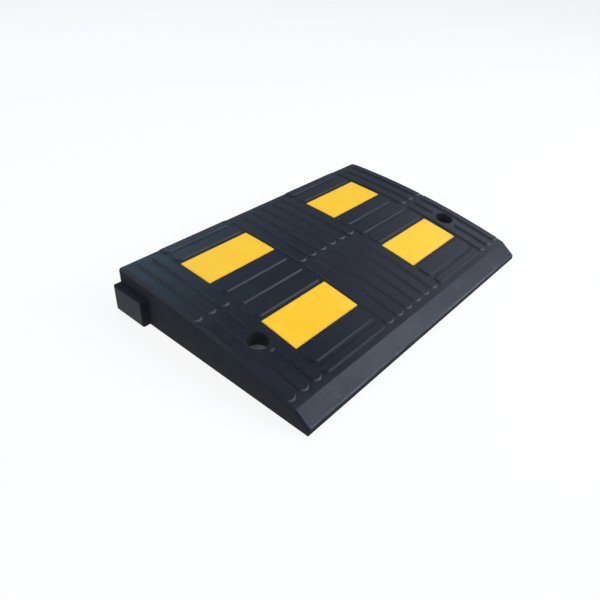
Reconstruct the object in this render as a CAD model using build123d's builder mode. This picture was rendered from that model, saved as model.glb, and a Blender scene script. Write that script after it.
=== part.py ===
from build123d import *
from math import asin, degrees, sqrt
import os

# All sizes are in millimetres. X runs along the ramp, Y up the slope to the high back face, Z up.
# The origin is the middle of the underside, not counting the tongue on the left end.

# Wedge
ramp_length = 500.0
ramp_width = 325.0
back_height = 58.0  # running surface at the back face, below the tread
shoulder_height = 23.5  # running surface where the nose starts
lip_height = 8.3  # upright lip at the foot of the nose
nose_run = 21.0  # plan depth of the steep nose
shoulder_round = 4.0
lip_round = 1.5
end_bevel = 5.0  # along the top of both ends, at the level of the tread
back_bevel = 1.5  # along the top of the back face, at the level of the tread
back_corner = 2.5  # rounding of the upright back corners, above the tongue and the socket

# Reflective panels, two rows of two
panel_length = 119.0
panel_width = 57.0
panel_corner = 1.0
panel_thickness = 1.2
glue_thickness = 0.5
panel_sink = 0.1  # face of the panel below the running surface, at its middle
panel_gap = 0.5  # between a panel and the wall of its pocket
back_row = 73.4  # from the back face to the middle of the back row
row_spacing = 147.4

# Tread: ribs run up the slope, bars run along the ramp beside the panels
tread_height = 2.0
tread_bevel = 2.6  # makes the sides of the ribs and bars slope at 45 degrees, down into the wedge
tread_root = 2.0  # how deep the ribs and bars reach into the wedge
groove = 3.4  # between two ribs or two bars, at the foot of their sloping sides
rib_pitch = 21.5
end_ribs = 3  # ribs at each end, outside the columns of panels
rib_setback = 4.0  # from the back face to the first ribs
shoulder_setback = 7.5  # from the end of the tread to the nose
bar_width = 22.4  # up the slope
bar_corner = 9.0
bar_overrun = 1.5  # how far a bar is longer than a panel, at each end
bar_end_gap = 1.8  # between the end of a bar and the next rib
panel_margin = 3.6  # between a panel and the next bar
shortest_bar = 10.0

# Bolt holes, with a steel washer moulded into the floor of each counterbore
hole_from_end = 37.5
hole_from_back = 213.4
bolt_hole = 14.0
counterbore = 28.5
counterbore_depth = 17.0
land_length = 44.0  # the ribs are joined round the mouth of each hole, up the slope
land_width = 31.0
washer_diameter = 36.0
washer_thickness = 4.0
washer_clearance = 0.2

# Link to the next ramp: a tongue on the left end, an open socket in the right end
tongue_reach = 11.0
tongue_width = 57.0
tongue_height = 38.0
tongue_round = 2.5
link_clearance = 1.0

# Running surface: an arc that is level at the back face and falls to the nose
back_y = ramp_width / 2
front_y = -ramp_width / 2
end_x = ramp_length / 2
run = ramp_width - nose_run
drop = back_height - shoulder_height
surface_radius = (run**2 + drop**2) / (2 * drop)


def surface_z(distance, lift=0.0):
    """Height of the running surface at a distance from the back face, raised by lift."""
    return back_height - surface_radius + sqrt((surface_radius + lift) ** 2 - distance**2)


def side_point(distance, lift=0.0):
    """The same point as Y and Z in the side view."""
    return (back_y - distance, surface_z(distance, lift))


def surface_arc(start, end, lift=0.0):
    """Side view of the raised running surface between two distances from the back face."""
    radius = surface_radius + lift
    first = degrees(asin(start / radius))
    last = degrees(asin(end / radius))
    return CenterArc((back_y, back_height - surface_radius), radius, 90 + first, last - first)


def surface_plane(x, distance):
    """Plane that lies on the running surface, with its second axis up the slope."""
    slope = distance / surface_radius
    y, z = side_point(distance)
    return Plane(origin=(x, y, z), x_dir=(1, 0, 0), z_dir=(0, -slope, sqrt(1 - slope**2)))


# Layout along the ramp, mirrored about the middle: the end ribs, then a column of panels and bars, and ribs
# of nearly the same pitch over what is left in the middle
rib_width = rib_pitch - groove
bar_length = panel_length + 2 * bar_overrun
panel_x = end_x - end_ribs * rib_pitch + groove - bar_end_gap - bar_length / 2
middle_width = 2 * (panel_x - bar_length / 2 - bar_end_gap)
middle_ribs = max(1, round((middle_width + groove) / rib_pitch))
middle_pitch = (middle_width + groove) / middle_ribs
end_rib_x = [end_x - rib_width / 2 - k * rib_pitch for k in range(end_ribs)]
middle_rib_x = [(k - (middle_ribs - 1) / 2) * middle_pitch for k in range(middle_ribs)]

# Layout up the slope, as distances from the back face
front_row = back_row + row_spacing
tread_end = run - shoulder_setback
rib_length = (tread_end - rib_setback - groove) / 2
rib_rows = [rib_setback + rib_length / 2, tread_end - rib_length / 2]
panel_reach = panel_width / 2 + panel_margin
between = row_spacing - 2 * panel_reach
inner_bars = max(1, round((between + groove) / (bar_width + groove)))
inner_width = (between + groove) / inner_bars - groove

# Each bar is its start and its end. The last one at the back runs out through the back face.
bars = []
for k in range(inner_bars):
    start = back_row + panel_reach + k * (inner_width + groove)
    bars.append((start, start + inner_width))
end = back_row - panel_reach
while end >= shortest_bar:
    bars.append((end - bar_width, end))
    end -= bar_width + groove
start = front_row + panel_reach
while start + shortest_bar <= tread_end:
    bars.append((start, min(start + inner_width, tread_end)))
    start += inner_width + groove

# Levels of the bolt holes
hole_y = back_y - hole_from_back
hole_points = [(hole_from_end - end_x, hole_y), (end_x - hole_from_end, hole_y)]
washer_top = surface_z(hole_from_back) - counterbore_depth
washer_bottom = washer_top - washer_thickness
above_all = back_height + 4 * tread_height

# The socket is the tongue with its clearance
socket_width = tongue_width + link_clearance
socket_height = tongue_height + link_clearance
socket_depth = tongue_reach + link_clearance

# Each panel lies on its adhesive in a pocket, a gap away from the walls
pocket_length = panel_length + 2 * panel_gap
pocket_width = panel_width + 2 * panel_gap
pocket_corner = panel_corner + panel_gap
pocket_depth = panel_sink + panel_thickness + glue_thickness

# Outer shape that trims the tread at the back face and along the end bevels
with BuildPart() as trim:
    with BuildSketch(Plane.YZ):
        with BuildLine():
            crest = surface_arc(0, run, tread_height)
            Polyline(crest @ 1, (back_y - run, 0), (back_y, 0), crest @ 0)
        make_face()
    extrude(amount=end_x, both=True)
    chamfer(trim.edges().filter_by(GeomType.CIRCLE), end_bevel)
    chamfer(trim.edges().filter_by(Axis.X).group_by(Axis.Z)[-1], back_bevel)

# Curved skin that the tread is cut from. It runs past the back face.
with BuildPart() as skin:
    with BuildSketch(Plane.YZ):
        with BuildLine():
            skin_top = surface_arc(-bar_width, run, tread_height)
            skin_root = surface_arc(-bar_width, run, -tread_root)
            Line(skin_top @ 0, skin_root @ 0)
            Line(skin_top @ 1, skin_root @ 1)
        make_face()
    extrude(amount=ramp_length, both=True)


def is_top_edge(edge):
    """True for an edge on the top of the skin."""
    middle = edge.center()
    return middle.Z > surface_z(back_y - middle.Y, tread_height / 2)


# Ribs, bars and the land round each bolt hole, bevelled along their top edges
with BuildPart() as tread:
    with BuildSketch(Plane.XY):
        for row in rib_rows:
            with Locations([(x, back_y - row) for x in middle_rib_x]):
                SlotOverall(rib_length, middle_pitch - groove, rotation=90)
            with Locations([(side * x, back_y - row) for x in end_rib_x for side in (-1, 1)]):
                SlotOverall(rib_length, rib_width, rotation=90)
        for bar_start, bar_end in bars:
            width = bar_end - bar_start
            middle_y = back_y - (bar_start + bar_end) / 2
            with Locations((-panel_x, middle_y), (panel_x, middle_y)):
                RectangleRounded(bar_length, width, min(bar_corner, 0.49 * width))
        with Locations(hole_points):
            Rectangle(land_width, land_length)
    extrude(amount=above_all)
    add(skin.part, mode=Mode.INTERSECT)
    chamfer(tread.edges().filter_by(is_top_edge), tread_bevel)
    add(trim.part, mode=Mode.INTERSECT)

# The rubber moulding
with BuildPart() as body:
    with BuildSketch(Plane.YZ):
        with BuildLine():
            crown = surface_arc(0, run)
            Polyline(crown @ 1, (front_y, lip_height), (front_y, 0), (back_y, 0), crown @ 0)
        make_face()
    extrude(amount=end_x, both=True)
    chamfer(
        body.faces().filter_by(Axis.X).edges().filter_by(lambda e: e.bounding_box().min.Z > 0.01),
        end_bevel - tread_height,
    )
    long_edges = body.edges().filter_by(Axis.X)
    fillet(long_edges.filter_by(lambda e: abs(e.center().Z - shoulder_height) < 0.01), shoulder_round)
    fillet(long_edges.filter_by(lambda e: abs(e.center().Z - lip_height) < 0.01), lip_round)
    # Tongue on the left end
    with BuildSketch(Plane.YZ.offset(-end_x)):
        with Locations((back_y - tongue_width / 2, tongue_height / 2)):
            Rectangle(tongue_width, tongue_height)
    extrude(amount=-tongue_reach)
    fillet(body.edges().group_by(Axis.X)[0], tongue_round)
    add(tread.part)
    # Socket in the right end, open to the end, the back and the ground
    with BuildSketch(Plane.YZ.offset(end_x)):
        with Locations((back_y - socket_width / 2, socket_height / 2)):
            Rectangle(socket_width, socket_height)
    extrude(amount=-socket_depth, mode=Mode.SUBTRACT)
    # Back corners
    corner_x = end_x - back_corner
    with BuildSketch(Plane.XY.offset(tongue_height)):
        with Locations((-end_x, back_y), (end_x, back_y)):
            Rectangle(2 * back_corner, 2 * back_corner)
        with Locations((-corner_x, back_y - back_corner), (corner_x, back_y - back_corner)):
            Circle(back_corner, mode=Mode.SUBTRACT)
    extrude(amount=above_all, mode=Mode.SUBTRACT)
    # Bolt hole, seat of the washer and counterbore
    with BuildSketch(Plane.XY):
        with Locations(hole_points):
            Circle(bolt_hole / 2)
    extrude(amount=washer_bottom, mode=Mode.SUBTRACT)
    with BuildSketch(Plane.XY.offset(washer_bottom)):
        with Locations(hole_points):
            Circle(washer_diameter / 2 + washer_clearance)
    extrude(amount=washer_thickness, mode=Mode.SUBTRACT)
    with BuildSketch(Plane.XY.offset(washer_top)):
        with Locations(hole_points):
            Circle(counterbore / 2)
    extrude(amount=above_all, mode=Mode.SUBTRACT)
    # Pockets of the panels
    for x in (-panel_x, panel_x):
        for row in (back_row, front_row):
            with BuildSketch(surface_plane(x, row).offset(-pocket_depth)):
                RectangleRounded(pocket_length, pocket_width, pocket_corner)
            extrude(amount=above_all, mode=Mode.SUBTRACT)

os.makedirs("parts", exist_ok=True)
body.part.label = "rubber_body"
export_step(body.part, "parts/rubber_body.step")

# Panels and the adhesive under them
for end_name, x in (("left", -panel_x), ("right", panel_x)):
    for row_name, row in (("back", back_row), ("front", front_row)):
        seat = surface_plane(x, row).offset(-pocket_depth)
        with BuildPart() as glue:
            with BuildSketch(seat):
                RectangleRounded(panel_length, panel_width, panel_corner)
            extrude(amount=glue_thickness)
        glue.part.label = f"glue_{row_name}_{end_name}"
        export_step(glue.part, f"parts/glue_{row_name}_{end_name}.step")
        with BuildPart() as panel:
            with BuildSketch(seat.offset(glue_thickness)):
                RectangleRounded(panel_length, panel_width, panel_corner)
            extrude(amount=panel_thickness)
        panel.part.label = f"reflector_{row_name}_{end_name}"
        export_step(panel.part, f"parts/reflector_{row_name}_{end_name}.step")

# Washers
for end_name, point in (("left", hole_points[0]), ("right", hole_points[1])):
    with BuildPart() as washer:
        with BuildSketch(Plane.XY.offset(washer_bottom)):
            with Locations(point):
                Circle(washer_diameter / 2)
                Circle(bolt_hole / 2, mode=Mode.SUBTRACT)
        extrude(amount=washer_thickness)
    washer.part.label = f"washer_{end_name}"
    export_step(washer.part, f"parts/washer_{end_name}.step")
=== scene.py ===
import math
from types import SimpleNamespace

import bpy
from mathutils import Matrix, Vector


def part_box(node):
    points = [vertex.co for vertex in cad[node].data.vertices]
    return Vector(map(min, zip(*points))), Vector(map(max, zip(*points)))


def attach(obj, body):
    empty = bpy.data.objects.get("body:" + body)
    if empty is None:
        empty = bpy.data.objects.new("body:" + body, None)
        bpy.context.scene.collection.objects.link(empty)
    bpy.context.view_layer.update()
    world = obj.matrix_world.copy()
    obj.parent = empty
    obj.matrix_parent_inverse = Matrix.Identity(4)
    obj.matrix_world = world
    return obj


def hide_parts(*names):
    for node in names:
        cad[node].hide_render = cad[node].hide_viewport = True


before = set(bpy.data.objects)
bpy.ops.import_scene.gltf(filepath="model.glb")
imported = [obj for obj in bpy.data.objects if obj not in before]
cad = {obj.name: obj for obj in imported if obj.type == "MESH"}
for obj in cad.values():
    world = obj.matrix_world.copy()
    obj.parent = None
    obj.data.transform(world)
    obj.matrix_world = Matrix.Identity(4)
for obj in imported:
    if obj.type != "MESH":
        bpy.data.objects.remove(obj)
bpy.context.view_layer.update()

# All sizes are in metres
MM = 0.001

# Faces read from the solids. The tongue stands out past the left end.
body_low, body_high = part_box("rubber_body")
BACK_Y = body_high.y
FRONT_Y = body_low.y
END_X = body_high.x
TONGUE_X = -body_low.x
panel_low, panel_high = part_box("reflector_back_right")
PANEL_IN = panel_low.x
PANEL_OUT = panel_high.x

# The body's own dimensions, as the part has them
BACK_HEIGHT = 58.0 * MM
SHOULDER_HEIGHT = 23.5 * MM
LIP_HEIGHT = 8.3 * MM
NOSE_RUN = 21.0 * MM
TREAD_HEIGHT = 2.0 * MM
TREAD_MARGIN = 7.5 * MM
RIB_SETBACK = 4.0 * MM
RIB_GAP = 3.4 * MM
COUNTERBORE_RADIUS = 14.25 * MM

# The running surface is an arc, level at the back face, that ends at the shoulder
RUN = BACK_Y - FRONT_Y - NOSE_RUN
DROP = BACK_HEIGHT - SHOULDER_HEIGHT
SURFACE_RADIUS = (RUN ** 2 + DROP ** 2) / (2 * DROP)
AXIS_Z = BACK_HEIGHT - SURFACE_RADIUS

# Front tips of the two rows of ribs, as distances from the back face
TREAD_END = RUN - TREAD_MARGIN
MIDDLE_TIPS = (RIB_SETBACK + TREAD_END - RIB_GAP) / 2

# The pieces that are made here
SHEET_LENGTH = PANEL_OUT - PANEL_IN
SHEET_WIDTH = 57.0 * MM
SHEET_CORNER = 1.0 * MM
SHEET_THICKNESS = 1.0 * MM
SHEET_PROUD = 0.15 * MM
SHEET_ROLL = 0.6 * MM
EDGE_DISTANCE = "edge_distance"
WASHER_RADIUS = 18.0 * MM
WASHER_THICKNESS = 4.0 * MM
WASHER_EDGE = 0.4 * MM
BOLT_RADIUS = 7.0 * MM


def middle_of(node):
    """Middle of a CAD node's box."""
    low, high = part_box(node)
    return (Vector(low) + Vector(high)) / 2


# Helpers for node trees

def put(tree, kind, inputs=None, **settings):
    """Adds a node. Inputs are values or other nodes' outputs, by socket name or number."""
    made = tree.nodes.new(kind)
    for key, value in settings.items():
        setattr(made, key, value)
    for key, value in (inputs or {}).items():
        if isinstance(value, bpy.types.NodeSocket):
            tree.links.new(value, made.inputs[key])
        else:
            made.inputs[key].default_value = value
    return made


def calc(tree, operation, a, b=0.0, c=0.0):
    """Output of a math node."""
    return put(tree, "ShaderNodeMath", {0: a, 1: b, 2: c}, operation=operation).outputs[0]


def times(tree, first, *others):
    """Product of numbers or masks."""
    for other in others:
        first = calc(tree, "MULTIPLY", first, other)
    return first


def vector(tree, operation, a, b=(0, 0, 0)):
    """Output of a vector calculation, which is a number for lengths and distances."""
    made = put(tree, "ShaderNodeVectorMath", {0: a, 1: b}, operation=operation)
    return made.outputs["Value" if operation in ("LENGTH", "DISTANCE") else "Vector"]


def parts_of(tree, value):
    """The three numbers of a vector."""
    outputs = put(tree, "ShaderNodeSeparateXYZ", {0: value}).outputs
    return outputs["X"], outputs["Y"], outputs["Z"]


def joined(tree, x, y, z=0.0):
    """Three numbers as a vector."""
    return put(tree, "ShaderNodeCombineXYZ", {"X": x, "Y": y, "Z": z}).outputs[0]


def ramp(tree, value, low, high, out_low=0.0, out_high=1.0):
    """Output of a map range node with smooth ends."""
    limits = {"From Min": low, "From Max": high, "To Min": out_low, "To Max": out_high}
    made = put(tree, "ShaderNodeMapRange", {"Value": value, **limits}, interpolation_type="SMOOTHSTEP")
    return made.outputs["Result"]


def fade(tree, value, low, high):
    """A ramp that falls from 1 to 0."""
    return ramp(tree, value, low, high, 1.0, 0.0)


def band(tree, value, rise, fall):
    """A mask that rises from 0 to 1 over one pair of limits and falls again over the other."""
    return times(tree, ramp(tree, value, *rise), fade(tree, value, *fall))


def blend(tree, factor, a, b):
    """Colour output of a mix node."""
    return put(tree, "ShaderNodeMix", {0: factor, 6: a, 7: b}, data_type="RGBA").outputs[2]


def tint(tree, colour, layers):
    """Lays shades over a colour. Each layer is a mask, its strength and its shade."""
    for mask, strength, shade in layers:
        colour = blend(tree, times(tree, mask, strength), colour, shade)
    return colour


def noise(tree, where, scale, detail, roughness=0.5, distortion=0.0):
    """Output of a noise texture."""
    return put(tree, "ShaderNodeTexNoise", {"Vector": where, "Scale": scale, "Detail": detail,
                                            "Roughness": roughness, "Distortion": distortion}).outputs[0]


def cells(tree, where, scale):
    """Distance and colour outputs of a cell texture."""
    return put(tree, "ShaderNodeTexVoronoi", {"Vector": where, "Scale": scale}, feature="F1").outputs


def cell_tone(tree, where, scale):
    """One number from 0 to 1 for each cell."""
    return put(tree, "ShaderNodeSeparateColor", {0: cells(tree, where, scale)["Color"]}).outputs["Red"]


def group(name, numbers, outputs):
    """A new shader group with a vector and number inputs, and number outputs."""
    tree = bpy.data.node_groups.new(name, "ShaderNodeTree")
    tree.interface.new_socket("Vector", in_out="INPUT", socket_type="NodeSocketVector")
    for label, value in numbers.items():
        tree.interface.new_socket(label, in_out="INPUT", socket_type="NodeSocketFloat").default_value = value
    for label in outputs:
        tree.interface.new_socket(label, in_out="OUTPUT", socket_type="NodeSocketFloat")
    return tree, tree.nodes.new("NodeGroupInput").outputs, tree.nodes.new("NodeGroupOutput").inputs


def place(tree, shared, where, numbers):
    """Puts a shared group into a material and returns its outputs."""
    return put(tree, "ShaderNodeGroup", {"Vector": where, **numbers}, node_tree=shared).outputs


def new_material(name):
    """An empty material, its tree, its Principled shader and its object coordinates."""
    material = bpy.data.materials.new(name)
    material.use_nodes = True
    tree = material.node_tree
    tree.nodes.clear()
    shader = tree.nodes.new("ShaderNodeBsdfPrincipled")
    out = tree.nodes.new("ShaderNodeOutputMaterial")
    tree.links.new(shader.outputs[0], out.inputs["Surface"])
    here = tree.nodes.new("ShaderNodeTexCoord").outputs["Object"]
    return material, tree, shader, here


def dress(tree, shader, colour, rough, height, strength, depth):
    """Feeds a finish's colour, roughness and bump to its shader."""
    bump = put(tree, "ShaderNodeBump", {"Height": height, "Strength": strength, "Distance": depth})
    tree.links.new(colour, shader.inputs["Base Color"])
    tree.links.new(rough, shader.inputs["Roughness"])
    tree.links.new(bump.outputs[0], shader.inputs["Normal"])


# Effects that several finishes share

def make_mottle():
    """Soft cloudy patches and a finer break-up, each from 0 to 1."""
    tree, start, end = group("mottle", {"Patch Scale": 20.0, "Break Scale": 150.0}, ("Patches", "Speckle"))
    patches = noise(tree, start["Vector"], start["Patch Scale"], 4.0, 0.6)
    speckle = noise(tree, start["Vector"], start["Break Scale"], 3.0, 0.7)
    tree.links.new(ramp(tree, patches, 0.32, 0.68), end["Patches"])
    tree.links.new(ramp(tree, speckle, 0.3, 0.7), end["Speckle"])
    return tree


def make_grain():
    """Height of a fine moulded or cast grain, with a slow waviness under it."""
    numbers = {"Grain Scale": 2200.0, "Wave Scale": 60.0, "Wave Share": 0.5}
    tree, start, end = group("grain", numbers, ("Height",))
    fine = noise(tree, start["Vector"], start["Grain Scale"], 2.0, 0.6)
    slow = noise(tree, start["Vector"], start["Wave Scale"], 2.0)
    mixed = put(tree, "ShaderNodeMix", {0: start["Wave Share"], 2: fine, 3: slow})
    tree.links.new(mixed.outputs[0], end["Height"])
    return tree


def make_scratches():
    """Thin broken streaks along y, as a mask from 0 to 1."""
    numbers = {"Across Scale": 900.0, "Along Scale": 18.0, "Amount": 0.1}
    tree, start, end = group("scratches", numbers, ("Mask",))
    x, y, z = parts_of(tree, start["Vector"])
    stretched = joined(tree, times(tree, x, start["Across Scale"]), times(tree, y, start["Along Scale"]), z)
    streaks = noise(tree, stretched, 1.0, 3.0, 0.55, 0.4)
    edge = calc(tree, "SUBTRACT", 0.78, start["Amount"])
    line = put(tree, "ShaderNodeMapRange", {"Value": streaks, "From Min": edge, "From Max": 0.8})
    patch = ramp(tree, noise(tree, start["Vector"], 35.0, 2.0), 0.45, 0.7)
    tree.links.new(times(tree, line.outputs["Result"], patch), end["Mask"])
    return tree


MOTTLE = make_mottle()
GRAIN = make_grain()
SCRATCHES = make_scratches()


# The black rubber, whose wear and painted light follow the body's features

def rubber_places(tree, here):
    """Where a point of the body is: x, y and z, how far from the middle and how far down the slope.
    Its lift is its height over the running surface in tread heights: 0 in a groove, 1 on a rib."""
    x, y, z = parts_of(tree, here)
    side = calc(tree, "ABSOLUTE", x)
    down = calc(tree, "SUBTRACT", BACK_Y, y)
    up = calc(tree, "SUBTRACT", z, AXIS_Z)
    reach = calc(tree, "SQRT", calc(tree, "ADD", times(tree, down, down), times(tree, up, up)))
    lift = calc(tree, "DIVIDE", calc(tree, "SUBTRACT", reach, SURFACE_RADIUS), TREAD_HEIGHT)
    return SimpleNamespace(x=x, y=y, z=z, side=side, down=down, lift=lift)


def tread_masks(tree, at, cloud):
    """The upper part of the tread's sloping sides, paler from wear and from a painted highlight, and patches
    of the grooves' floors.
    """
    rubbed_and_sheen = band(tree, at.lift, (0.25, 0.6), (0.775, 0.9))
    rubbed_and_sheen = times(tree, rubbed_and_sheen, ramp(tree, cloud["Speckle"], 0.1, 0.8, 0.3, 1.0))
    groove = times(tree, band(tree, at.lift, (-0.175, -0.1), (0.075, 0.3)), cloud["Patches"])
    return rubbed_and_sheen, groove


def tip_highlight_mask(tree, at, cloud):
    """Painted highlights: a paler shade on the sloping front ends of the ribs, outside the columns of
    panels.
    """
    rows = [band(tree, at.down, (tip - 6.0 * MM, tip - 3.5 * MM), (tip, tip + 0.6 * MM))
            for tip in (MIDDLE_TIPS, TREAD_END)]
    slopes = band(tree, at.lift, (0.025, 0.175), (0.85, 0.975))
    inner_side = (PANEL_IN - 4.0 * MM, PANEL_IN - 3.0 * MM)
    outer_side = (PANEL_OUT + 2.5 * MM, PANEL_OUT + 3.5 * MM)
    outside = calc(tree, "SUBTRACT", 1.0, band(tree, at.side, inner_side, outer_side))
    broken = ramp(tree, cloud["Speckle"], 0.0, 0.8, 0.6, 1.0)
    return times(tree, calc(tree, "MAXIMUM", *rows), slopes, outside, broken)


def groove_fill_mask(tree, at, cloud):
    """A lighter shade painted into the grooves between the middle ribs to lift their shade, most of it on
    their sides and in the front half.
    """
    grooves = band(tree, at.lift, (-0.175, -0.1), (0.75, 0.975))
    clinging = ramp(tree, at.lift, 0.05, 0.3, 0.45, 1.0)
    middle = fade(tree, at.side, PANEL_IN - 4.0 * MM, PANEL_IN - 3.0 * MM)
    front = ramp(tree, at.down, MIDDLE_TIPS - 20.0 * MM, MIDDLE_TIPS + 20.0 * MM, 0.15, 1.0)
    on_tread = fade(tree, at.down, TREAD_END - 2.0 * MM, TREAD_END)
    broken = ramp(tree, cloud["Speckle"], 0.0, 0.8, 0.6, 1.0)
    return times(tree, grooves, clinging, middle, front, on_tread, broken)


def end_masks(tree, at):
    """The upright ends, which are rougher but for the tongue's smoother, worn face, and dirt near the
    ground.
    """
    end_face = ramp(tree, at.side, END_X - 1.0 * MM, END_X - 0.3 * MM)
    coarse = times(tree, end_face, ramp(tree, at.side, TONGUE_X - 0.8 * MM, TONGUE_X - 0.2 * MM, 1.0, 0.4))
    splash = times(tree, end_face, ramp(tree, at.z, 0.0, 30.0 * MM, 1.0, 0.2))
    return coarse, splash


def nose_masks(tree, at, cloud):
    """The lip's rough upright face, pale patches along its rounded edge that are partly wear and partly a
    painted highlight, and scuffs along the nose.
    """
    front = fade(tree, at.y, FRONT_Y + NOSE_RUN - 0.5 * MM, FRONT_Y + NOSE_RUN + 1.5 * MM)
    front = times(tree, front, fade(tree, at.side, END_X - 6.5 * MM, END_X - 4.5 * MM))
    lip_face = fade(tree, at.z, LIP_HEIGHT - 1.1 * MM, LIP_HEIGHT - 0.6 * MM)
    lip_face = times(tree, lip_face, fade(tree, at.y, FRONT_Y + 0.2 * MM, FRONT_Y + 0.8 * MM))
    below = (LIP_HEIGHT - 1.1 * MM, LIP_HEIGHT - 0.5 * MM)
    above = (LIP_HEIGHT + 0.3 * MM, LIP_HEIGHT + 1.7 * MM)
    # Pale patches along the rounded lip edge: partly wear, partly a painted highlight
    lip_edge_wear_and_highlight = times(tree, band(tree, at.z, below, above), front, cloud["Patches"])
    # With x and y changed over, the streaks run along the nose
    swapped = joined(tree, at.y, at.x, at.z)
    scuffs = place(tree, SCRATCHES, swapped, {"Across Scale": 420.0, "Along Scale": 28.0, "Amount": 0.24})
    scuffs = times(tree, front, fade(tree, at.lift, -1.25, -0.5), scuffs["Mask"])
    return lip_face, lip_edge_wear_and_highlight, scuffs


def hole_mask(tree, at, cloud):
    """Dust in the two bolt holes, out to the counterbore's wall."""
    hole = middle_of("washer_right")
    off_axis = vector(tree, "DISTANCE", joined(tree, at.side, at.y), (hole.x, hole.y, 0))
    inside = fade(tree, off_axis, COUNTERBORE_RADIUS, COUNTERBORE_RADIUS + 0.5 * MM)
    return times(tree, inside, ramp(tree, cloud["Speckle"], 0.0, 1.0, 0.5, 1.0))


def make_black_rubber():
    """Moulded black rubber: cloudy bloom, granules, pale patches in the grooves, dusty bolt holes, painted
    highlights on the rib ends, wear and a painted highlight on the lip's edge, and a lighter shade painted
    into the middle grooves to lift their shade.
    """
    material, tree, shader, here = new_material("black_rubber")
    cloud = place(tree, MOTTLE, here, {"Patch Scale": 16.0, "Break Scale": 420.0})
    grain = place(tree, GRAIN, here, {"Grain Scale": 1500.0, "Wave Scale": 55.0, "Wave Share": 0.45})
    marks = place(tree, SCRATCHES, here, {"Across Scale": 700.0, "Along Scale": 14.0, "Amount": 0.1})
    at = rubber_places(tree, here)
    rubbed_and_sheen, groove = tread_masks(tree, at, cloud)
    tips = tip_highlight_mask(tree, at, cloud)
    groove_fill = groove_fill_mask(tree, at, cloud)
    coarse, splash = end_masks(tree, at)
    lip_face, lip_edge_wear_and_highlight, scuffs = nose_masks(tree, at, cloud)
    settled = hole_mask(tree, at, cloud)
    # Granules of reclaimed rubber differ a little in tone and shine
    granule = cell_tone(tree, here, 900.0)
    colour = blend(tree, cloud["Patches"], (0.0035, 0.0043, 0.0090, 1), (0.0062, 0.0074, 0.0140, 1))
    colour = tint(tree, colour, (
        (cloud["Speckle"], 0.15, (0.016, 0.017, 0.022, 1)),
        (groove, 0.12, (0.030, 0.030, 0.032, 1)),
        # A lighter shade painted into the middle grooves to lift their shade
        (groove_fill, 0.55, (0.036, 0.037, 0.044, 1)),
        # Partly wear and partly a painted highlight on the upper sloping sides of the tread
        (rubbed_and_sheen, 0.2, (0.028, 0.030, 0.036, 1)),
        # Painted highlights on the sloping front ends of the ribs
        (tips, 0.78, (0.075, 0.078, 0.090, 1)),
        (marks["Mask"], 0.3, (0.040, 0.041, 0.045, 1)),
        (splash, 0.5, (0.027, 0.023, 0.019, 1)),
        (settled, 0.8, (0.050, 0.052, 0.050, 1)),
        # Wear and a painted highlight in patches along the lip's rounded edge
        (lip_edge_wear_and_highlight, 0.7, (0.110, 0.112, 0.125, 1)),
        (scuffs, 0.8, (0.090, 0.092, 0.110, 1)),
        (ramp(tree, granule, 0.80, 0.95), 0.25, (0.022, 0.024, 0.029, 1))))
    rough = calc(tree, "MULTIPLY_ADD", cloud["Patches"], 0.08, 0.34)
    rough = calc(tree, "MULTIPLY_ADD", cloud["Speckle"], 0.05, rough)
    rough = calc(tree, "MULTIPLY_ADD", groove, 0.1, rough)
    rough = calc(tree, "MULTIPLY_ADD", calc(tree, "MAXIMUM", coarse, lip_face), 0.45, rough)
    rough = calc(tree, "MULTIPLY_ADD", granule, 0.06, rough)
    dress(tree, shader, colour, rough, grain["Height"], 0.5, 0.3 * MM)
    shader.inputs["Specular IOR Level"].default_value = 0.33
    shader.inputs["Specular Tint"].default_value = (0.78, 0.87, 1.0, 1)
    return material


# The other finishes

def make_yellow_reflector():
    """Yellow retroreflective sheet: fine bead sparkle, a soft waviness, a darker rim and a few scratches."""
    material, tree, shader, here = new_material("yellow_reflector")
    cloud = place(tree, MOTTLE, here, {"Patch Scale": 22.0, "Break Scale": 900.0})
    grain = place(tree, GRAIN, here, {"Grain Scale": 2600.0, "Wave Scale": 40.0, "Wave Share": 0.6})
    marks = place(tree, SCRATCHES, here, {"Across Scale": 1100.0, "Along Scale": 25.0, "Amount": 0.07})
    sparkle = fade(tree, cells(tree, here, 1400.0)["Distance"], 0.15, 0.5)
    edge = put(tree, "ShaderNodeAttribute", attribute_name=EDGE_DISTANCE).outputs["Fac"]
    rim = fade(tree, edge, 0.2 * MM, 2.4 * MM)
    rim = times(tree, rim, ramp(tree, cloud["Speckle"], 0.0, 0.9, 0.35, 1.0))
    colour = blend(tree, cloud["Patches"], (0.97, 0.545, 0.020, 1), (1.0, 0.59, 0.030, 1))
    colour = tint(tree, colour, (
        (sparkle, 0.35, (1.0, 0.66, 0.05, 1)),
        (rim, 0.45, (0.55, 0.27, 0.02, 1)),
        (marks["Mask"], 0.3, (0.80, 0.50, 0.10, 1))))
    rough = calc(tree, "MULTIPLY_ADD", cloud["Speckle"], 0.08, 0.34)
    rough = calc(tree, "MULTIPLY_ADD", marks["Mask"], 0.15, rough)
    dress(tree, shader, colour, rough, grain["Height"], 0.12, 0.3 * MM)
    shader.inputs["Specular IOR Level"].default_value = 0.2
    return material


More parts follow.
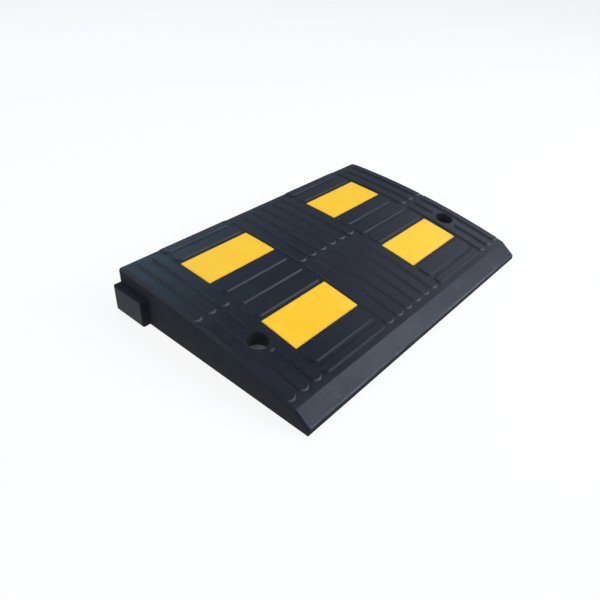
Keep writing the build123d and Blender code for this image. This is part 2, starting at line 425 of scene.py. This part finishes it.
def make_zinc_steel():
    """Dull zinc plate with a blotchy spangle and dirt."""
    material, tree, shader, here = new_material("zinc_steel")
    cloud = place(tree, MOTTLE, here, {"Patch Scale": 90.0, "Break Scale": 1200.0})
    grain = place(tree, GRAIN, here, {"Grain Scale": 3000.0, "Wave Scale": 400.0, "Wave Share": 0.4})
    dirt = times(tree, cloud["Patches"], cloud["Speckle"])
    colour = blend(tree, cell_tone(tree, here, 420.0), (0.34, 0.35, 0.37, 1), (0.48, 0.49, 0.51, 1))
    colour = tint(tree, colour, ((dirt, 0.5, (0.13, 0.12, 0.11, 1)),))
    rough = calc(tree, "MULTIPLY_ADD", dirt, 0.3, 0.42)
    dress(tree, shader, colour, rough, grain["Height"], 0.2, 0.2 * MM)
    tree.links.new(calc(tree, "MULTIPLY_ADD", dirt, -0.6, 0.95), shader.inputs["Metallic"])
    return material


def make_adhesive():
    """Cured adhesive: a greyed cream with a lumpy skin."""
    material, tree, shader, here = new_material("adhesive")
    cloud = place(tree, MOTTLE, here, {"Patch Scale": 60.0, "Break Scale": 700.0})
    grain = place(tree, GRAIN, here, {"Grain Scale": 900.0, "Wave Scale": 180.0, "Wave Share": 0.7})
    colour = blend(tree, cloud["Patches"], (0.50, 0.46, 0.36, 1), (0.62, 0.58, 0.48, 1))
    colour = tint(tree, colour, ((cloud["Speckle"], 0.4, (0.36, 0.33, 0.27, 1)),))
    rough = calc(tree, "MULTIPLY_ADD", cloud["Speckle"], 0.2, 0.45)
    dress(tree, shader, colour, rough, grain["Height"], 0.35, 0.4 * MM)
    return material


RUBBER = make_black_rubber()
REFLECTOR = make_yellow_reflector()
ZINC = make_zinc_steel()
ADHESIVE = make_adhesive()


# Pieces made with geometry nodes

def new_tree(name, inputs):
    """A geometry tree with number inputs and a mesh output."""
    tree = bpy.data.node_groups.new(name, "GeometryNodeTree")
    for label, value in inputs.items():
        tree.interface.new_socket(label, in_out="INPUT", socket_type="NodeSocketFloat").default_value = value
    tree.interface.new_socket("Geometry", in_out="OUTPUT", socket_type="NodeSocketGeometry")
    start = tree.nodes.new("NodeGroupInput").outputs
    end = tree.nodes.new("NodeGroupOutput").inputs["Geometry"]
    return tree, start, end


def finish_tree(tree, geometry, material, end):
    """Closes a tree with Realize Instances and Set Material."""
    shaded = put(tree, "GeometryNodeSetShadeSmooth", {"Geometry": geometry, "Shade Smooth": False})
    real = put(tree, "GeometryNodeRealizeInstances", {"Geometry": shaded.outputs[0]})
    made = put(tree, "GeometryNodeSetMaterial", {"Geometry": real.outputs[0], "Material": material})
    tree.links.new(made.outputs[0], end)


def point_places(tree):
    """Positions of the points of the geometry in hand."""
    return put(tree, "GeometryNodeInputPosition").outputs[0]


def move_points(tree, geometry, positions):
    """Moves the points of a geometry."""
    return put(tree, "GeometryNodeSetPosition", {"Geometry": geometry, "Position": positions}).outputs[0]


def past_corners(tree, size, positions):
    """How far points lie past the lines through the corners' centres, and the same with nothing below 0."""
    inner_x = calc(tree, "SUBTRACT", times(tree, size["Length"], 0.5), size["Corner"])
    inner_y = calc(tree, "SUBTRACT", times(tree, size["Width"], 0.5), size["Corner"])
    past = vector(tree, "SUBTRACT", vector(tree, "ABSOLUTE", positions), joined(tree, inner_x, inner_y))
    return past, vector(tree, "MAXIMUM", past)


def crowd(tree, share, full):
    """A place along a side from its share, -1 to 1, with the points closer together near the ends."""
    return times(tree, calc(tree, "SINE", times(tree, share, math.pi / 2)), full, 0.5)


def draw_in(tree, size, coordinate, mine, other):
    """Draws a coordinate of a square corner in to a quarter circle."""
    u = calc(tree, "DIVIDE", mine, size["Corner"])
    w = calc(tree, "DIVIDE", other, size["Corner"])
    kept = calc(tree, "SQRT", calc(tree, "SUBTRACT", 1.0, times(tree, w, w, 0.5)))
    lost = times(tree, u, calc(tree, "SUBTRACT", 1.0, kept), size["Corner"])
    return calc(tree, "SUBTRACT", coordinate, times(tree, calc(tree, "SIGN", coordinate), lost))


def sheet_outline(tree, size):
    """A flat sheet about the origin with round corners."""
    counts = {"Vertices X": 73, "Vertices Y": 49}
    grid = put(tree, "GeometryNodeMeshGrid", {"Size X": 2.0, "Size Y": 2.0, **counts})
    share_x, share_y, _ = parts_of(tree, point_places(tree))
    x = crowd(tree, share_x, size["Length"])
    y = crowd(tree, share_y, size["Width"])
    over = past_corners(tree, size, joined(tree, x, y))[1]
    over_x, over_y, _ = parts_of(tree, over)
    shaped = joined(tree, draw_in(tree, size, x, over_x, over_y), draw_in(tree, size, y, over_y, over_x))
    return move_points(tree, grid.outputs["Mesh"], shaped)


def mark_edge(tree, size, sheet):
    """Stores each point's distance to the edge, for the rolled edge and for the finish."""
    past, over = past_corners(tree, size, point_places(tree))
    past_x, past_y, _ = parts_of(tree, past)
    inside = calc(tree, "MINIMUM", calc(tree, "MAXIMUM", past_x, past_y), 0.0)
    to_edge = calc(tree, "SUBTRACT", size["Corner"], vector(tree, "LENGTH", over))
    distance = calc(tree, "MAXIMUM", calc(tree, "SUBTRACT", to_edge, inside), 0.0)
    stored = {"Geometry": sheet, "Name": EDGE_DISTANCE, "Value": distance}
    return put(tree, "GeometryNodeStoreNamedAttribute", stored, data_type="FLOAT", domain="POINT").outputs[0]


def thicken(tree, size, sheet):
    """Raises the flat sheet for the top, and turns it over for the underside."""
    upwards = {"Offset": (0, 0, 1), "Offset Scale": size["Thickness"], "Individual": False}
    raised = put(tree, "GeometryNodeExtrudeMesh", {"Mesh": sheet, **upwards}, mode="FACES")
    under = put(tree, "GeometryNodeFlipFaces", {"Mesh": sheet})
    both = put(tree, "GeometryNodeJoinGeometry")
    tree.links.new(raised.outputs["Mesh"], both.inputs[0])
    tree.links.new(under.outputs[0], both.inputs[0])
    closed = put(tree, "GeometryNodeMergeByDistance", {"Geometry": both.outputs[0], "Distance": 0.01 * MM})
    return closed.outputs[0]


def lay_on_surface(tree, size, sheet):
    """Rolls the upper edge down and bends the sheet to the arc of the running surface."""
    x, y, z = parts_of(tree, point_places(tree))
    edge = put(tree, "GeometryNodeInputNamedAttribute", {"Name": EDGE_DISTANCE}, data_type="FLOAT")
    roll = calc(tree, "DIVIDE", edge.outputs[0], size["Edge Roll"])
    roll = calc(tree, "SUBTRACT", 1.0, calc(tree, "MINIMUM", roll, 1.0))
    is_top = calc(tree, "GREATER_THAN", z, times(tree, size["Thickness"], 0.5))
    drop = times(tree, roll, roll, size["Edge Roll"], 0.6, is_top)
    underside = calc(tree, "SUBTRACT", size["Proud"], size["Thickness"])
    level = calc(tree, "ADD", calc(tree, "SUBTRACT", z, drop), underside)
    reach = calc(tree, "ADD", size["Surface Radius"], level)
    row = calc(tree, "ARCSINE", calc(tree, "DIVIDE", size["Row"], size["Surface Radius"]))
    turn = calc(tree, "SUBTRACT", row, calc(tree, "DIVIDE", y, size["Surface Radius"]))
    bent_x = calc(tree, "ADD", x, size["Centre X"])
    bent_y = calc(tree, "SUBTRACT", size["Back Y"], times(tree, reach, calc(tree, "SINE", turn)))
    bent_z = calc(tree, "ADD", size["Axis Z"], times(tree, reach, calc(tree, "COSINE", turn)))
    return move_points(tree, sheet, joined(tree, bent_x, bent_y, bent_z))


def make_sheet_tree():
    """A sheet with round corners and a rolled edge, bent to the running surface."""
    tree, size, end = new_tree("reflective_sheet", {
        "Length": SHEET_LENGTH, "Width": SHEET_WIDTH, "Corner": SHEET_CORNER, "Thickness": SHEET_THICKNESS,
        "Proud": SHEET_PROUD, "Edge Roll": SHEET_ROLL, "Centre X": 0.0, "Row": 0.0,
        "Surface Radius": SURFACE_RADIUS, "Back Y": BACK_Y, "Axis Z": AXIS_Z})
    flat = mark_edge(tree, size, sheet_outline(tree, size))
    finish_tree(tree, lay_on_surface(tree, size, thicken(tree, size, flat)), REFLECTOR, end)
    return tree


def make_washer_tree():
    """A flat ring with broken edges."""
    tree, size, end = new_tree("washer_ring", {
        "Outer Radius": WASHER_RADIUS, "Bore Radius": BOLT_RADIUS, "Thickness": WASHER_THICKNESS,
        "Edge Break": WASHER_EDGE, "Centre X": 0.0, "Centre Y": 0.0, "Centre Z": 0.0})
    middle = times(tree, calc(tree, "ADD", size["Outer Radius"], size["Bore Radius"]), 0.5)
    wall = calc(tree, "SUBTRACT", size["Outer Radius"], size["Bore Radius"])
    ring = put(tree, "GeometryNodeCurvePrimitiveCircle", {"Resolution": 96, "Radius": middle})
    section = put(tree, "GeometryNodeCurvePrimitiveQuadrilateral",
                  {"Width": wall, "Height": size["Thickness"]})
    broken = put(tree, "GeometryNodeFilletCurve",
                 {"Curve": section.outputs[0], "Radius": size["Edge Break"], "Count": 3}, mode="POLY")
    solid = put(tree, "GeometryNodeCurveToMesh",
                {"Curve": ring.outputs[0], "Profile Curve": broken.outputs[0]})
    centre = joined(tree, size["Centre X"], size["Centre Y"], size["Centre Z"])
    moved = put(tree, "GeometryNodeTransform", {"Geometry": solid.outputs[0], "Translation": centre})
    finish_tree(tree, moved.outputs[0], ZINC, end)
    return tree


def grow(name, tree, values):
    """Runs a geometry tree with these inputs and returns the result as a plain mesh object."""
    holder = bpy.data.objects.new(name, bpy.data.meshes.new(name + "_start"))
    bpy.context.collection.objects.link(holder)
    modifier = holder.modifiers.new("shape", "NODES")
    modifier.node_group = tree
    named = {item.name: item.identifier for item in tree.interface.items_tree if item.in_out == "INPUT"}
    for label, value in values.items():
        modifier[named[label]] = value
    evaluated = holder.evaluated_get(bpy.context.evaluated_depsgraph_get())
    mesh = bpy.data.meshes.new_from_object(evaluated)
    mesh.name = name
    holder.modifiers.remove(modifier)
    holder.data = mesh
    return holder


def hand_over(piece, node):
    """The piece stands for a CAD node and rides with the ramp."""
    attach(piece, "root")
    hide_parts(node)


sheet_tree = make_sheet_tree()
washer_tree = make_washer_tree()
for name, solid in cad.items():
    middle = middle_of(name)
    kind, _, place_name = name.partition("_")
    if kind == "reflector":
        sheet = grow("sheet_" + place_name, sheet_tree, {"Centre X": middle.x, "Row": BACK_Y - middle.y})
        hand_over(sheet, name)
    elif kind == "washer":
        ring = grow("ring_" + place_name, washer_tree,
                    {"Centre X": middle.x, "Centre Y": middle.y, "Centre Z": middle.z})
        hand_over(ring, name)
    else:
        solid.data.materials.clear()
        solid.data.materials.append(RUBBER if kind == "rubber" else ADHESIVE)


# Studio

FLOOR_SIZE = 14.0
FLOOR_LEVEL = -0.4 * MM
FLOOR_WHITENESS = 0.84
HORIZON_COLOUR = (0.79, 0.78, 0.79, 1)
OVERHEAD_COLOUR = (0.22, 0.275, 0.36, 1)
OVERHEAD_FROM = 0.55

# The camera was fitted to the photograph, with a lens in millimetres on a sensor of this width
CAMERA_PLACE = (-0.56955, -0.40155, 0.46905)
CAMERA_FORWARD = (0.62457, 0.51026, -0.59122)
CAMERA_RIGHT = (0.65924, -0.75035, 0.04883)
CAMERA_LENS = 34.27
CAMERA_SENSOR = 36.0


def make_floor():
    """A wide pale floor. What camera and mirror rays see is lifted towards white, and the shadow kept."""
    bpy.ops.mesh.primitive_plane_add(size=FLOOR_SIZE, location=(0, 0, FLOOR_LEVEL))
    floor = bpy.context.active_object
    floor.name = "studio_floor"
    material = bpy.data.materials.new("pale_floor")
    material.use_nodes = True
    tree = material.node_tree
    tree.nodes.clear()
    rays = tree.nodes.new("ShaderNodeLightPath").outputs
    mirrored = calc(tree, "MAXIMUM", rays["Is Glossy Ray"], rays["Is Transmission Ray"])
    seen = calc(tree, "MAXIMUM", rays["Is Camera Ray"], mirrored)
    matt = put(tree, "ShaderNodeBsdfDiffuse", {"Color": (0.95, 0.95, 0.95, 1)})
    white = put(tree, "ShaderNodeEmission", {"Color": (1, 1, 1, 1), "Strength": 1.0})
    mixed = put(tree, "ShaderNodeMixShader",
                {0: times(tree, seen, FLOOR_WHITENESS), 1: matt.outputs[0], 2: white.outputs[0]})
    put(tree, "ShaderNodeOutputMaterial", {"Surface": mixed.outputs[0]})
    floor.data.materials.append(material)


def make_softbox(name, position, target, size, power, colour):
    """A square area lamp that faces the target."""
    lamp = bpy.data.lights.new(name, "AREA")
    lamp.shape = "SQUARE"
    lamp.size = size
    lamp.energy = power
    lamp.color = colour
    holder = bpy.data.objects.new(name, lamp)
    bpy.context.collection.objects.link(holder)
    holder.location = position
    holder.rotation_euler = (Vector(target) - Vector(position)).to_track_quat("-Z", "Y").to_euler()


def make_camera():
    """The photograph's viewpoint, from the left of the nose, with a slight roll."""
    data = bpy.data.cameras.new("photo_camera")
    data.sensor_width = CAMERA_SENSOR
    data.lens = CAMERA_LENS
    camera = bpy.data.objects.new("photo_camera", data)
    bpy.context.collection.objects.link(camera)
    forward = Vector(CAMERA_FORWARD).normalized()
    right = Vector(CAMERA_RIGHT)
    right = (right - forward * right.dot(forward)).normalized()
    up = right.cross(forward)
    axes = Matrix((right, up, -forward)).transposed()
    camera.matrix_world = Matrix.Translation(CAMERA_PLACE) @ axes.to_4x4()
    bpy.context.scene.camera = camera


def make_world():
    """A surround that is pale at the horizon, and dimmer and bluer overhead."""
    world = bpy.data.worlds.new("studio")
    world.use_nodes = True
    tree = world.node_tree
    height = parts_of(tree, tree.nodes.new("ShaderNodeTexCoord").outputs["Generated"])[2]
    colour = blend(tree, ramp(tree, height, 0.0, OVERHEAD_FROM), HORIZON_COLOUR, OVERHEAD_COLOUR)
    tree.links.new(colour, tree.nodes["Background"].inputs["Color"])
    bpy.context.scene.world = world


make_floor()
make_softbox("front_softbox", position=(1.05, -1.3, 1.25), target=(0, 0, 0.03), size=1.3, power=28.4,
             colour=(0.92, 0.93, 1.0))
make_softbox("right_softbox", position=(2.0, 0.1, 1.2), target=(0.1, 0, 0.03), size=1.0, power=4.0,
             colour=(0.97, 0.98, 1.0))
make_softbox("back_softbox", position=(0.45, 1.65, 1.15), target=(-0.1, 0.1, 0.05), size=1.2, power=6.6,
             colour=(0.44, 0.80, 1.0))
make_softbox("left_softbox", position=(-1.3, 1.15, 1.35), target=(0, 0, 0.03), size=1.3, power=9.0,
             colour=(1.0, 0.96, 0.93))
make_softbox("top_softbox", position=(-0.5, -0.4, 2.0), target=(0, 0, 0.03), size=1.0, power=11.5,
             colour=(1.0, 0.91, 0.87))
make_camera()
make_world()
bpy.context.scene.view_settings.view_transform = "Standard"
